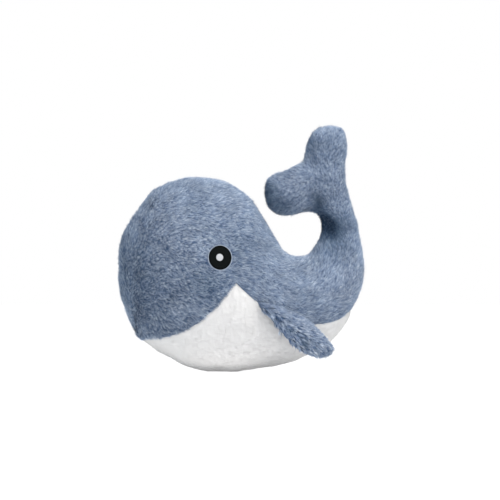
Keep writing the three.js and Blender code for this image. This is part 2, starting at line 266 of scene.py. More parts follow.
def arrays_of(ob, evaluated=False):
    """Points in millimetres and triangles of an object."""
    me = ob.data
    if evaluated:
        me = ob.evaluated_get(bpy.context.evaluated_depsgraph_get()).to_mesh()
    co = np.zeros(len(me.vertices) * 3, np.float32)
    me.vertices.foreach_get("co", co)
    me.calc_loop_triangles()
    tris = np.zeros(len(me.loop_triangles) * 3, np.int32)
    me.loop_triangles.foreach_get("vertices", tris)
    return co.reshape(-1, 3).astype(float) / MM, tris.reshape(-1, 3)


def apply_modifiers(ob):
    dg = bpy.context.evaluated_depsgraph_get()
    me = bpy.data.meshes.new_from_object(ob.evaluated_get(dg))
    ob.modifiers.clear()
    ob.data = me
    return ob


def joined(parts):
    """Several meshes as one."""
    points, tris, at = [], [], 0
    for p, t in parts:
        points.append(p)
        tris.append(t + at)
        at += len(p)
    return np.concatenate(points), np.concatenate(tris)


def face_normals(points, tris):
    return np.cross(points[tris[:, 1]] - points[tris[:, 0]], points[tris[:, 2]] - points[tris[:, 0]])


def unit(v):
    return v / (np.linalg.norm(v, axis=-1, keepdims=True) + 1e-12)


def normals_of(points, tris):
    n = np.zeros_like(points)
    f = face_normals(points, tris)
    for k in range(3):
        for j in range(3):
            n[:, j] += np.bincount(tris[:, k], f[:, j], len(points))
    return unit(n)


def sides_of(tris):
    """The three sides of each triangle, in its own direction."""
    return np.concatenate([tris[:, [0, 1]], tris[:, [1, 2]], tris[:, [2, 0]]])


def edges_of(tris):
    """Each edge of a mesh once."""
    return np.unique(np.sort(sides_of(tris), axis=1), axis=0)


def neighbours_mean(values, ends):
    """The mean over each point's neighbours. ends names the two points of each edge."""
    count = np.bincount(ends.ravel(), minlength=len(values))[:, None] + 1e-9
    total = np.zeros_like(values)
    for j in range(values.shape[1]):
        total[:, j] = np.bincount(ends[:, 0], values[ends[:, 1], j], len(values))
        total[:, j] += np.bincount(ends[:, 1], values[ends[:, 0], j], len(values))
    return total / count


def smoothed(points, tris, rounds=8, share=0.5, back=0.52, keep=None):
    """Smooths without shrinking; keep marks points that stay."""
    edges = edges_of(tris)
    for amount in (share, -back) * rounds:
        move = (neighbours_mean(points, edges) - points) * amount
        if keep is not None:
            move[keep] = 0
        points = points + move
    return points


def spread(values, tris, rounds):
    """Averages a value per point with its neighbours."""
    sides = sides_of(tris)
    for _ in range(rounds):
        values = 0.5 * values + 0.5 * neighbours_mean(values, sides)
    return values


def waves(points, size, seed, count=24):
    """A smooth random value of about -1 to 1 that changes over the given size in millimetres."""
    r = np.random.default_rng(seed)
    k = unit(r.normal(size=(count, 3))) * (2 * np.pi / size) * r.uniform(0.6, 1.5, (count, 1))
    phase = r.uniform(0, 2 * np.pi, count)
    return np.sin(points @ k.T + phase).sum(1) / math.sqrt(count / 2) / 1.6


def remeshed(name, points, tris, voxel):
    ob = new_object(name, new_mesh(name, points, tris))
    mod = ob.modifiers.new("remesh", "REMESH")
    mod.mode = "VOXEL"
    mod.voxel_size = voxel * MM
    return apply_modifiers(ob)


PIN_STEPS = 10


def simulated(ob, pinned, pressure, frames):
    """Where a short cloth simulation under pressure takes the points of a piece, and its triangles."""
    group = ob.vertex_groups.new(name="seams")
    for level in range(1, PIN_STEPS + 1):
        members = np.nonzero(np.round(pinned * PIN_STEPS) == level)[0]
        if len(members):
            group.add(members.tolist(), level / PIN_STEPS, "REPLACE")
    mod = ob.modifiers.new("stuffing", "CLOTH")
    cloth = mod.settings
    cloth.quality = 6
    cloth.mass = 0.2
    cloth.tension_stiffness = cloth.compression_stiffness = 20
    cloth.shear_stiffness = 8
    cloth.bending_stiffness = 1
    cloth.use_pressure = True
    cloth.uniform_pressure_force = pressure
    cloth.effector_weights.gravity = 0
    cloth.vertex_group_mass = "seams"
    cloth.pin_stiffness = 1
    mod.collision_settings.use_collision = False
    mod.collision_settings.use_self_collision = False
    for clock in (bpy.context.scene, mod.point_cache):
        clock.frame_start, clock.frame_end = 1, frames
    for frame_number in range(1, frames + 1):
        bpy.context.scene.frame_set(frame_number)
    points, tris = arrays_of(ob, evaluated=True)
    ob.modifiers.remove(mod)
    ob.vertex_groups.clear()
    bpy.context.scene.frame_set(1)
    return points, tris


def swollen(ob, pinned, pressure, cap, frames=20):
    """Swells a closed piece as its stuffing does and holds its seams. No point moves further than the cap."""
    rest = np.zeros(len(ob.data.vertices) * 3, np.float32)
    ob.data.vertices.foreach_get("co", rest)
    rest = rest.reshape(-1, 3).astype(float)
    now, tris = simulated(ob, pinned, pressure, frames)
    move = np.nan_to_num(now * MM - rest)
    size = np.linalg.norm(move, axis=1)[:, None] + 1e-12
    move *= np.minimum(1, cap * MM / size)
    moved = spread(move, tris, 3)
    set_points(ob, rest + moved)
    return ob


def subdivided(ob, levels):
    mod = ob.modifiers.new("finer", "SUBSURF")
    mod.levels = mod.render_levels = levels
    return apply_modifiers(ob)


def cut(points, tris, value, near=0.01):
    """Splits triangles along value = 0. Returns points, triangles and which lie on the positive side."""
    edges = edges_of(tris)
    value = np.where(np.abs(value) < near, 0.0, value)
    crossing = edges[value[edges[:, 0]] * value[edges[:, 1]] < 0]
    start, end = value[crossing[:, 0]], value[crossing[:, 1]]
    share = (start / (start - end))[:, None]
    extra = points[crossing[:, 0]] * (1 - share) + points[crossing[:, 1]] * share
    place = {(int(a), int(b)): len(points) + i for i, (a, b) in enumerate(crossing)}
    sign = np.sign(value[tris])
    mixed = (sign.min(1) < 0) & (sign.max(1) > 0)
    made = []
    for corners in tris[mixed].tolist():
        signs = [np.sign(value[corner]) for corner in corners]
        if 0 in signs:
            k = signs.index(0)
        else:
            k = next(i for i in range(3) if signs[i] != signs[(i + 1) % 3] and signs[i] != signs[(i + 2) % 3])
        a, b, c = corners[k], corners[(k + 1) % 3], corners[(k + 2) % 3]
        if 0 in signs:
            m = place[(min(b, c), max(b, c))]
            made += [((a, b, m), value[b] > 0), ((a, m, c), value[c] > 0)]
        else:
            m, n = place[(min(a, b), max(a, b))], place[(min(a, c), max(a, c))]
            made += [((a, m, n), value[a] > 0), ((m, b, c), value[b] > 0), ((m, c, n), value[b] > 0)]
    positive = list(sign[~mixed].sum(1) > 0) + [bool(side) for _, side in made]
    split = np.array([triangle for triangle, _ in made], int).reshape(-1, 3)
    return np.concatenate([points, extra]), np.concatenate([tris[~mixed], split]), np.array(positive)


def snapped(points, value, near, axis):
    """Moves points that are nearly on the cut onto it along an axis, so that it leaves no slivers."""
    moved = points.copy()
    close = np.abs(value) < near
    moved[close, axis] -= value[close]
    return moved


def taken(points, tris, chosen):
    """Only the chosen triangles, with their own points."""
    used, inverse = np.unique(tris[chosen].ravel(), return_inverse=True)
    return points[used], inverse.reshape(-1, 3)


def border_edges(tris):
    sides = sides_of(tris)
    _, inverse, counts = np.unique(np.sort(sides, axis=1), axis=0, return_inverse=True, return_counts=True)
    return sides[counts[inverse.ravel()] == 1]


def turned_in(points, tris, normals, depth=3.0):
    """Adds the seam allowance: each border is folded inward, so that no panel shows an open edge."""
    border = border_edges(tris)
    ends = np.unique(border)
    folded = {int(end): len(points) + i for i, end in enumerate(ends)}
    extra = points[ends] - normals[ends] * depth
    strip = []
    for a, b in border.tolist():
        strip += [[b, a, folded[a]], [b, folded[a], folded[b]]]
    return np.concatenate([points, extra]), np.concatenate([tris, np.array(strip, int)])


# seams in the side view
def smooth_run(shares, fine=24):
    """A smooth curve through places of the side view, as x and z."""
    p = np.array([side_point(x, 0, z)[[0, 2]] for x, z in shares])
    out = []
    for i in range(len(p) - 1):
        p0, p1, p2 = p[max(i - 1, 0)], p[i], p[i + 1]
        p3 = p[min(i + 2, len(p) - 1)]
        t = (np.arange(fine) / fine)[:, None]
        v0, v1 = (p2 - p0) / 2, (p3 - p1) / 2
        cube = 2 * p1 - 2 * p2 + v0 + v1
        square = -3 * p1 + 3 * p2 - 2 * v0 - v1
        out.append(cube * t ** 3 + square * t ** 2 + v0 * t + p1)
    out.append(p[-1:])
    return np.concatenate(out)


seam_run = np.concatenate([smooth_run(BELLY_SEAM), smooth_run(TAIL_SEAM)[1:]])


def above_seam(points):
    """How far each point lies above the seam between the belly and the sides."""
    return points[:, 2] - np.interp(points[:, 0], seam_run[:, 0], seam_run[:, 1])


# the stuffed skin
def tree_of(points):
    tree = KDTree(len(points))
    for i, point in enumerate(points):
        tree.insert(point, i)
    tree.balance()
    return tree


def closest(points, targets):
    """How far each point lies from the nearest target."""
    tree = tree_of(targets)
    return np.array([tree.find(point)[2] for point in points])


def rising(value, start, over):
    """0 up to the start, and from there evenly up to 1 over the given stretch."""
    return np.clip((value - start) / over, 0, 1)


def falling(value, end, over):
    """1 at first, and evenly down to 0 over the stretch before the end."""
    return np.clip((end - value) / over, 0, 1)


def eased(points, tris):
    """Fills the grooves where the tail leaves the body, as the stuffing does, away from the middle seam."""
    x, y, z = points.T
    share = falling(z, 142, 14) * rising(z, 40, 20) * rising(x, -5, 20) * rising(np.abs(y), 5, 12)
    normals = normals_of(points, tris)
    gain = ((spread(points, tris, 10) - points) * normals).sum(1)
    gain = spread(np.clip(gain, 0, 5)[:, None], tris, 1)[:, 0] * share
    return points + normals * gain[:, None]


def stuffed_skin():
    forms = [body_loft(SKIN), fluke_loft(FRONT_FLUKE, SKIN), fluke_loft(REAR_FLUKE, SKIN)]
    ob = remeshed("skin", *joined(forms), SKIN_VOXEL)
    points, tris = arrays_of(ob)
    points = smoothed(points, tris, 6)
    from_seam = np.abs(above_seam(points)) / 1.3
    tail = rising(points[:, 2], 128, 22) * rising(points[:, 0], 5, 15)
    points = points + normals_of(points, tris) * (TAIL_FULLER * tail)[:, None]
    set_points(ob, points * MM)
    from_seam = np.minimum(from_seam, np.abs(points[:, 1]))
    pinned = np.clip(1.15 - from_seam / SEAM_HOLD, 0, 1) ** 1.3
    ob = swollen(ob, pinned, pressure=4, cap=SWELL)
    points, tris = arrays_of(ob)
    set_points(ob, eased(points, tris) * MM)
    ob = subdivided(ob, 2)
    points, tris = arrays_of(ob)
    bpy.data.objects.remove(ob)
    return smoothed(points, tris, 2), tris


# the valley between the front fluke and the stalk: at each height, how far forward it lies and how deep it is
VALLEY_Z = [126, 134, 143, 151, 162, 172, 179, 187]
VALLEY_X = [93, 91, 87.5, 85, 81, 78.5, 76.5, 75]
VALLEY_DEEP = [0, .4, .85, 1, .9, .6, .35, 0]


def valley(points):
    """How deep in the valley a point lies, from 0 to 1."""
    x, z = points[:, 0], points[:, 2]
    off = x - np.interp(z, VALLEY_Z, VALLEY_X)
    wide = np.where(off > 0, np.interp(z, [150, 172], [11, 5.5]), np.interp(z, [150, 172], [20, 5]))
    return np.interp(z, VALLEY_Z, VALLEY_DEEP) * np.exp(-((off / wide) ** 2))


# places in the side view, x and z, and how much further the stuffing pushes the skin out there
FULLER = np.array([
    [-124, 130, 1.6], [-112, 158, .5], [-97, 177, 1.8], [-69, 194, 0], [-46, 198, .6], [-20, 194, 1.2],
    [-5, 187, .1], [9, 176, -.2], [22, 155, -1.1], [36, 136, .2], [48, 121, -1.2], [61, 119, .1],
    [74, 129, 2.1], [80, 144, 2.2], [76, 157, 0], [63, 162, -1], [49, 159, 1.7], [33, 161, 1.2],
    [25, 172, 1], [23, 186, 1.3], [30, 199, 1.6], [43, 205, -1.4], [57, 212, -.9], [64, 227, 1.1],
    [69, 240, 2.9], [81, 249, .5], [95, 249, .1], [106, 237, .5], [107, 223, 1.1], [106, 208, -.3],
    [109, 180, -.6], [113, 166, .6], [120, 137, 0], [123, 116, .9], [123, 95, .3], [120, 81, 1],
    [113, 67, .2], [107, 53, 3.1], [95, 31, 3.2], [-125, 108, 1.2], [-125, 87, 2.0], [-123, 73, 2.6],
    [-117, 59, 1.9], [-110, 43, 1.7], [-100, 32, 2.6], [-86, 23, 2.7], [-72, 15, 1.3], [-58, 7, 2.8],
    [-44, 3, 2.1], [-16, 0, .8], [12, 2, 0], [27, 6, 1], [41, 8, 1.4],
])
FULLER_REACH = 9.0
FULLER_ELSEWHERE, ELSEWHERE_WEIGHT = 0.6, 0.1
SKIN_WAVES = 0.35


def filled_out(points, tris):
    """The skin pushed out by what FULLER says, and a little uneven."""
    d2 = ((points[:, None, [0, 2]] - FULLER[None, :, :2]) ** 2).sum(2)
    w = np.exp(-d2 / FULLER_REACH ** 2)
    more = (w @ FULLER[:, 2] + ELSEWHERE_WEIGHT * FULLER_ELSEWHERE) / (w.sum(1) + ELSEWHERE_WEIGHT)
    more = more + SKIN_WAVES * waves(points, 22, 61)
    return points + normals_of(points, tris) * more[:, None]


def belly_filled(points, tris, seam_points):
    """The folds that the stitches draw in along the belly seam, and a fuller belly between them."""
    normals = normals_of(points, tris)
    off = closest(points, seam_points)
    run = points[:, 0] * 0.8 + points[:, 1] * 0.6
    along_seam = np.stack([run, np.zeros_like(run), 0.25 * points[:, 2]], 1)
    pucker = waves(along_seam, 11, 3) * np.exp(-off / 9) * 0.35
    full = 0.95 * (1 - np.exp(-((off / 9) ** 2))) + 0.22 * waves(points, 46, 5) * (1 - np.exp(-off / 14))
    full *= np.clip(1.6 + normals[:, 2] * 1.2, 0, 1)
    full = spread(full[:, None], tris, 40)[:, 0]
    points = points + normals * (full + pucker - SEAM_DEEP * np.exp(-off / 1.6))[:, None]
    points[:, 2] = np.maximum(points[:, 2], 0.15)
    return points


def sewn_skins():
    """The skin cut along its seams: points, triangles and normals of each panel."""
    points, tris = stuffed_skin()
    points = smoothed(filled_out(points, tris), tris, 2)
    points[:, 1] *= 1 - 0.5 * valley(points)
    points = snapped(points, points[:, 1], 0.35, 1)
    points = snapped(points, above_seam(points), 0.3, 2)
    points, tris, is_blue = cut(points, tris, above_seam(points))
    blue, blue_tris = taken(points, tris, is_blue)
    blue, blue_tris, is_right = cut(blue, blue_tris, blue[:, 1])
    white, white_tris = taken(points, tris, ~is_blue)
    seam_ends = np.unique(border_edges(white_tris))
    white = smoothed(white, white_tris, 14, keep=seam_ends)
    seam_points = white[seam_ends]
    white = belly_filled(white, white_tris, seam_points)
    deep = SEAM_DEEP * np.exp(-closest(blue, seam_points) / 1.6)
    deep = deep + MIDDLE_SEAM_DEEP * np.exp(-np.abs(blue[:, 1]) / 2.0)
    blue = blue - normals_of(blue, blue_tris) * deep[:, None]
    panels = {}
    for word, chosen in (("left", ~is_right), ("right", is_right)):
        panels[f"side_panel_{word}"] = taken(blue, blue_tris, chosen)
    panels["belly_panel"] = (white, white_tris)
    return {name: (*mesh, normals_of(*mesh)) for name, mesh in panels.items()}


skins = sewn_skins()


# the nap: the way the pile lies
def guide(shares, reverse=False, count=60):
    """Places on the middle line of a form, and the way the nap runs there."""
    upper, lower = side_ribs(shares)
    ts = np.linspace(0.02, 0.98, count)
    middle = (catmull(upper, ts) + catmull(lower, ts)) / 2
    middle[:, 1] = 0
    if reverse:
        middle = middle[::-1]
    return middle, unit(np.gradient(middle, axis=0))


guides = [guide(BODY_RIBS), guide(FRONT_FLUKE, True), guide(REAR_FLUKE, True)]
guide_at = np.concatenate([places for places, _ in guides])
guide_run = np.concatenate([runs for _, runs in guides])
in_fluke = np.arange(len(guide_at)) >= len(guides[0][0])

# a place in the gap between the head and the flukes, and how much further back the gap lies for each mm down
GAP_X, GAP_Z, GAP_LEAN = 17, 176, 0.86
NAP_CHUNK = 20000
NAP_BLEND = 120  # how softly one guide's way passes into the next one's, in square millimetres
NAP_DOWN, NOSE_UP, NOSE_REACH = 0.12, 1.2, 20


def tail_share(x, z):
    """1 on the tail's side of the gap between the head and the flukes, and 0 on the head's side."""
    past_gap = np.clip((x - GAP_X - GAP_LEAN * (GAP_Z - z)) / 4 + 0.5, 0, 1)
    return past_gap * rising(z, 110, 25)


def along_skin(way, normals):
    """The part of a direction that lies in the skin."""
    return unit(way - normals * (way * normals).sum(1)[:, None])


def nap(points, normals):
    """The way the pile lies at each point."""
    way = np.zeros_like(points)
    for i in range(0, len(points), NAP_CHUNK):
        x, z = points[i:i + NAP_CHUNK, 0], points[i:i + NAP_CHUNK, 2]
        d2 = (x[:, None] - guide_at[None, :, 0]) ** 2 + (z[:, None] - guide_at[None, :, 2]) ** 2
        weight = np.where(in_fluke, tail_share(x, z)[:, None], 1) / (d2 + NAP_BLEND) ** 2
        way[i:i + NAP_CHUNK] = (weight @ guide_run) / weight.sum(1)[:, None]
    way[:, 2] -= NAP_DOWN
    # on the nose the pile is combed up, over the forehead
    way[:, 2] += NOSE_UP * np.exp(-((points[:, 0] + LENGTH / 2) / NOSE_REACH) ** 2)
    swirl = waves(points, 34, 11)[:, None] * 0.28 + waves(points, 11, 12)[:, None] * 0.28
    way = unit(way) + np.cross(normals, unit(way)) * swirl
    return along_skin(way, normals)


# pile of separate fibres
CORNER_OUT, CORNER_ACROSS = 0.577, 0.866  # the corners of a triangle round its middle


def scattered(points, tris, normals, per_mm2, r):
    """Places spread evenly at random over a mesh, and the normals there."""
    area = np.linalg.norm(face_normals(points, tris), axis=1) / 2
    count = int(area.sum() * per_mm2)
    edges = np.cumsum(area)
    pick = np.searchsorted(edges, r.uniform(0, edges[-1], count)).clip(0, len(tris) - 1)
    u, v = r.uniform(size=(2, count))
    flip = u + v > 1
    u[flip], v[flip] = 1 - u[flip], 1 - v[flip]
    w = np.stack([1 - u - v, u, v], 1)[:, :, None]
    return (points[tris[pick]] * w).sum(1), unit((normals[tris[pick]] * w).sum(1))


def tuft_shades(own, count, r):
    """A shade for each fibre, from 0 to 1, which is mostly its tuft's. Some tufts are pale and some dark."""
    tuft = r.normal(0, 1, count)
    kind = r.uniform(size=count)
    tuft = np.where(kind < 0.27, tuft * 0.6 + 1.5, np.where(kind > 0.84, tuft * 0.5 - 1.9, tuft * 0.6 - 0.2))
    return np.clip(0.5 + 0.17 * tuft[own] + 0.13 * r.normal(0, 1, count), 0, 1)


def fibres(at, n, way, long, wide, lean, r, clumps, gather, wander, bend=0, roundly=0.3, lit=None, early=0.4):
    """Thin three-sided spikes: root corners, bends, tips, shading normals and shades. Neighbours gather into
    tufts, and each tuft has its own way and shade."""
    count = len(at)
    chosen = r.choice(count, max(count // clumps, 1), replace=False)
    leader = np.zeros(count, bool)
    leader[chosen] = True
    turn = (r.normal(0, 1, count) * np.where(leader, wander, wander * 0.6))[:, None]
    way = unit(way * np.cos(turn) + np.cross(n, way) * np.sin(turn))
    long = long * r.uniform(0.65, 1.35, count)
    lean = np.clip(lean + r.normal(0, 0.17, count), 0.1, 1.45)[:, None]
    mid = at + (n * np.cos(lean - bend) + way * np.sin(lean - bend)) * (0.5 * long)[:, None]
    tip = mid + (n * np.cos(lean + bend) + way * np.sin(lean + bend)) * (0.5 * long)[:, None]
    tree = tree_of(at[chosen])
    own = chosen[np.array([tree.find(place)[1] for place in at])]
    pull = (gather * r.uniform(0.5, 1.1, count))[:, None]
    mid = mid + (mid[own] - mid) * pull * early
    tip = tip + (tip[own] - tip) * pull
    run = unit(tip - at)
    across = unit(np.cross(run, n))
    over = np.cross(across, run)
    over *= np.sign((over * n).sum(1))[:, None]
    width = (wide * r.uniform(0.7, 1.3, count))[:, None] * CORNER_OUT
    corners = [over, -0.5 * over + CORNER_ACROSS * across, -0.5 * over - CORNER_ACROSS * across]
    radial = np.stack([unit(corner) for corner in corners], 1)
    lit = n if lit is None else lit
    return {
        "at": at,
        "roots": np.stack([at + corner * width for corner in corners], 1),
        "bends": np.stack([mid + corner * width * 0.8 for corner in corners], 1),
        "tips": tip,
        "shading": unit(lit[:, None] * 0.8 + radial * roundly),
        "tip_shading": unit(lit * 0.85 + over * roundly * 0.8),
        "shade": tuft_shades(own, count, r),
        "painted_light_and_shade": np.ones(count),
    }


def kept(pile, chosen):
    return {key: value[chosen] for key, value in pile.items()}


def piece(name, me, mat, body, node=None):
    """A piece of the scene on its body, and the node of the part that it stands in for, if it has one."""
    me.materials.append(mat)
    ob = new_object(name, me)
    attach(ob, body)
    if node:
        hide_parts(node)
    return ob


def fibre_map(me, groups, each, levels, count):
    """The fibres' own map: all faces of a fibre lie on the same small cell, root below and tip above."""
    grid = math.ceil(math.sqrt(count))
    corner = np.zeros(len(me.loops), np.int32)
    me.loops.foreach_get("vertex_index", corner)
    fibre, part = corner // each, corner % each
    is_tip = part == each - 1
    # of the corners round a spike, the last one of each face takes the right-hand side of the cell
    turn = np.where(is_tip, -1, part % 3)
    sizes = np.concatenate([np.full(len(group), group.shape[1]) for group in groups])
    face_of = np.repeat(np.arange(len(sizes)), sizes)
    last = np.full(len(sizes), -1)
    np.maximum.at(last, face_of, turn)
    u = np.where(is_tip, 0.5, np.where(turn == last[face_of], 0.9, 0.1))
    v = 0.1 + 0.82 * np.where(is_tip, 1.0, (part // 3) / levels)
    uv = np.stack([(fibre % grid + u) / grid, (fibre // grid + v) / grid], 1)
    me.uv_layers.new(name="OFBake").uv.foreach_set("vector", uv.astype(np.float32).ravel())


def pile_mesh(name, pile, mat, body, bent=False):
    """A piece of pile. Each fibre is a spike with three root corners, three more if it is bent, and a tip."""
    count = len(pile["tips"])
    layers = [pile["roots"], pile["bends"]] if bent else [pile["roots"]]
    each = 3 * len(layers) + 1
    points = np.concatenate(layers + [pile["tips"][:, None]], 1)
    shading = np.concatenate([pile["shading"]] * len(layers) + [pile["tip_shading"][:, None]], 1)
    k = np.arange(3)
    nxt = (k + 1) % 3
    top = 3 * (len(layers) - 1)
    faces = [np.stack([top + k, top + nxt, np.full_like(k, each - 1)], 1)]
    if bent:
        faces.insert(0, np.stack([k, nxt, nxt + 3, k + 3], 1))
    a, b, c = (points[:, corner] for corner in faces[-1][0])
    if (np.cross(b - a, c - a) * (a - points[:, top + 2])).sum(1).mean() < 0:
        faces = [face[:, ::-1] for face in faces]
    base = (np.arange(count) * each)[:, None, None]
    groups = [(base + face[None]).reshape(-1, face.shape[1]) for face in faces]
    me = new_mesh(name, points.reshape(-1, 3), groups)
    fibre_map(me, groups, each, len(layers), count)
    heights = np.append(np.repeat(np.arange(len(layers)) / len(layers), 3), 1.0)
    shares = {
        "tone": np.repeat(pile["shade"], each),
        "rise": np.tile(heights, count),
        "painted_light_and_shade": np.repeat(pile["painted_light_and_shade"], each),
    }
    for key, values in shares.items():
        me.attributes.new(key, "FLOAT", "POINT").data.foreach_set("value", values.astype(np.float32))
    me.normals_split_custom_set_from_vertices(shading.reshape(-1, 3).tolist())
    return piece(name, me, mat, body)


# materials
def material(name):
    mat = bpy.data.materials.new(name)
    mat.use_nodes = True
    mat.node_tree.nodes.clear()
    out = add(mat, "ShaderNodeOutputMaterial")
    shader = add(mat, "ShaderNodeBsdfPrincipled")
    join(mat, shader.outputs["BSDF"], out.inputs["Surface"])
    return mat, shader


def add(mat, kind, **values):
    """A new node. Each value is a setting of the node, or the default of its input of that name."""
    node = mat.node_tree.nodes.new(kind)
    for key, value in values.items():
        if hasattr(node, key) and key not in node.inputs:
            setattr(node, key, value)
        else:
            node.inputs[key].default_value = value
    return node


def join(mat, a, b):
    mat.node_tree.links.new(a, b)


def ramp(mat, share, stops):
    """The colour that the stops give for a share from 0 to 1."""
    node = add(mat, "ShaderNodeValToRGB")
    elements = node.color_ramp.elements
    while len(elements) < len(stops):
        elements.new(0.5)
    for element, (at, colour) in zip(elements, stops):
        element.position = at
        element.color = (*colour, 1)
    join(mat, share, node.inputs["Fac"])
    return node.outputs["Color"]


def times(mat, a, b):
    """The product of two colours."""
    node = add(mat, "ShaderNodeMix", data_type="RGBA", blend_type="MULTIPLY")
    node.inputs[0].default_value = 1.0
    join(mat, a, node.inputs[6])
    join(mat, b, node.inputs[7])
    return node.outputs[2]


def speckle(mat, scale, detail, roughness):
    """Noise fixed in space."""
    place = add(mat, "ShaderNodeNewGeometry")
    noise = add(mat, "ShaderNodeTexNoise", Scale=scale, Detail=detail, Roughness=roughness)
    join(mat, place.outputs["Position"], noise.inputs["Vector"])
    return noise.outputs["Fac"]


def set_inputs(shader, values):
    for key, value in values.items():
        shader.inputs[key].default_value = value


def linear(*levels):
    """A colour given in levels of 0 to 255."""
    shares = [level / 255 for level in levels]
    return tuple(v / 12.92 if v <= 0.04045 else ((v + 0.055) / 1.055) ** 2.4 for v in shares)


# painted shade and light on the pile change its red most and its blue least, so that the painted shade looks
# cool
PAINTED_SHADE_TINT = (("Red", 1.2), ("Green", 1.0), ("Blue", 0.85))
PILE_SHINE = {"Roughness": 0.75, "Specular IOR Level": 0.05, "Sheen Weight": 0.02, "Sheen Roughness": 0.5}


def pile_material(name, dark, mid, light, root, half_way, patch, patchy):
    """Pile: each fibre has its own tone, with painted shade toward its root, slow changes from patch to
    patch, and the painted light and shade of its place.
    """
    mat, shader = material(name)
    attributes = [add(mat, "ShaderNodeAttribute", attribute_name=key) for key in ("tone", "rise", "painted_light_and_shade")]
    tone, rise, painted_light_and_shade = (attribute.outputs["Fac"] for attribute in attributes)
    shades = ramp(mat, tone, [(0.0, dark), (0.5, mid), (1.0, light)])
    # painted shade between the fibres: each fibre darker toward its root
    depth = ramp(mat, rise, [(0.0, root), (0.55, half_way), (1.0, (1.08,) * 3)])
    patches = ramp(mat, speckle(mat, patch, 3.0, 0.55), [(0.3, (1 - patchy,) * 3), (0.7, (1 + patchy,) * 3)])
    # the painted light and shade of each place, with its red changed most
    turned = add(mat, "ShaderNodeCombineColor")
    for channel, exponent in PAINTED_SHADE_TINT:
        power = add(mat, "ShaderNodeMath", operation="POWER")
        power.inputs[1].default_value = exponent
        join(mat, painted_light_and_shade, power.inputs[0])
        join(mat, power.outputs[0], turned.inputs[channel])
    colour = times(mat, times(mat, shades, depth), patches)
    join(mat, times(mat, colour, turned.outputs["Color"]), shader.inputs["Base Color"])
    set_inputs(shader, PILE_SHINE)
    return mat


def cloth_material(name, dark, light, scale, bump, rough=0.9, sheen=0.2, shine=0.2):
    """Knitted backing or short plush: fine speckle in colour and height."""
    mat, shader = material(name)
    fine = speckle(mat, scale, 4.0, 0.6)
    join(mat, ramp(mat, fine, [(0.32, dark), (0.68, light)]), shader.inputs["Base Color"])
    height = add(mat, "ShaderNodeBump", Strength=bump, Distance=0.001)
    join(mat, fine, height.inputs["Height"])
    join(mat, height.outputs["Normal"], shader.inputs["Normal"])
    set_inputs(shader, {"Roughness": rough, "Specular IOR Level": shine, "Sheen Weight": sheen})
    return mat


BLUE_SHADES = linear(73, 96, 133), linear(152, 167, 190), linear(217, 225, 236)
# the root colours are painted shade between the fibres, darker still in the long pile
blue_pile = pile_material("blue pile", *BLUE_SHADES, (0.3, 0.36, 0.43), (0.87, 0.9, 0.94), 60.0, 0.15)
long_pile = pile_material("long blue pile", *BLUE_SHADES, (0.23, 0.26, 0.29), (0.9, 0.9, 0.91), 60.0, 0.12)
WHITE_SHADES = linear(213, 212, 212), linear(214, 213, 213), linear(215, 214, 214)
white_pile = pile_material("white pile", *WHITE_SHADES, (1.03,) * 3, (1.03,) * 3, 40.0, 0.01)
# the backing's blue is darker than the pile's: painted shade for the gaps between the fibres
blue_backing = cloth_material("blue backing", linear(70, 82, 106), linear(98, 112, 138), 900.0, 0.3)
# the white backing is a little paler than the white pile: painted light against the shade between the fibres
WHITE_CLOTH = linear(216, 215, 215), linear(219, 218, 218)
white_backing = cloth_material("white backing", *WHITE_CLOTH, 900.0, 0.03, 0.9, 0.02, 0.05)
felt_black = cloth_material("black felt", linear(7, 9, 9), linear(17, 20, 20), 1400.0, 0.4, 0.85, 0.0, 0.04)
felt_pale = cloth_material("pale felt", linear(168, 169, 173), linear(181, 182, 186), 1400.0, 0.3, 0.9, 0.0)
rim_thread = cloth_material("rim thread", linear(140, 152, 172), linear(176, 186, 202), 1600.0, 0.4)
wadding = cloth_material("wadding", linear(214, 213, 208), linear(244, 243, 240), 260.0, 0.8)


# the panels
def cloth_panel(name, points, tris, normals):
    me = new_mesh(name, *turned_in(points, tris, normals))
    is_white = name == "belly_panel"
    mat, slot = (white_backing, "white_plush") if is_white else (blue_backing, "blue_plush")
    piece(name + "_cloth", me, mat, "body", name)


for skin_name, skin in skins.items():
    cloth_panel(skin_name, *skin)

# eyes
STITCHES, RIM_STITCHES = 76, 60
EYE_RINGS = [0, .12, .24, .36, .48, .6, .7, .78, .84, .88, .91, .935, .955, .975, .99, 1.0, 1.02, 1.07]
RIM_RINGS = [0, .9, .94, .97, 1.0, 1.03]
GLINT_RINGS = [0, .25, .5, .7, .82, .9, .96, 1.0, 1.05]
GLINT_SHIFT = (-0.6, 0.1)
outer_points, outer_tris = body_loft(0.0, 10, 120)
outer_tree = BVHTree.FromPolygons(outer_points.tolist(), outer_tris.tolist())


def surface_at(x, z, side):
    """The body's surface at a place of the side view."""
    return np.array(outer_tree.ray_cast(Vector((x, side * 200.0, z)), Vector((0, -side, 0)))[0])


def eye_frame(side):
    """An eye's middle, and its directions across, up and out of the cheek."""
    x, z = side_point(EYE_AT[0], 0, EYE_AT[1])[[0, 2]]
    ahead = surface_at(x + EYE_WIDE / 2, z, side) - surface_at(x - EYE_WIDE / 2, z, side)
    above = surface_at(x, z + EYE_TALL / 2, side) - surface_at(x, z - EYE_TALL / 2, side)
    normal = unit(np.cross(ahead, above))
    if normal[1] * side < 0:
        normal = -normal
    across = unit(ahead)
    rise = unit(above - across * (above @ across))
    return surface_at(x, z, side), across, rise, normal


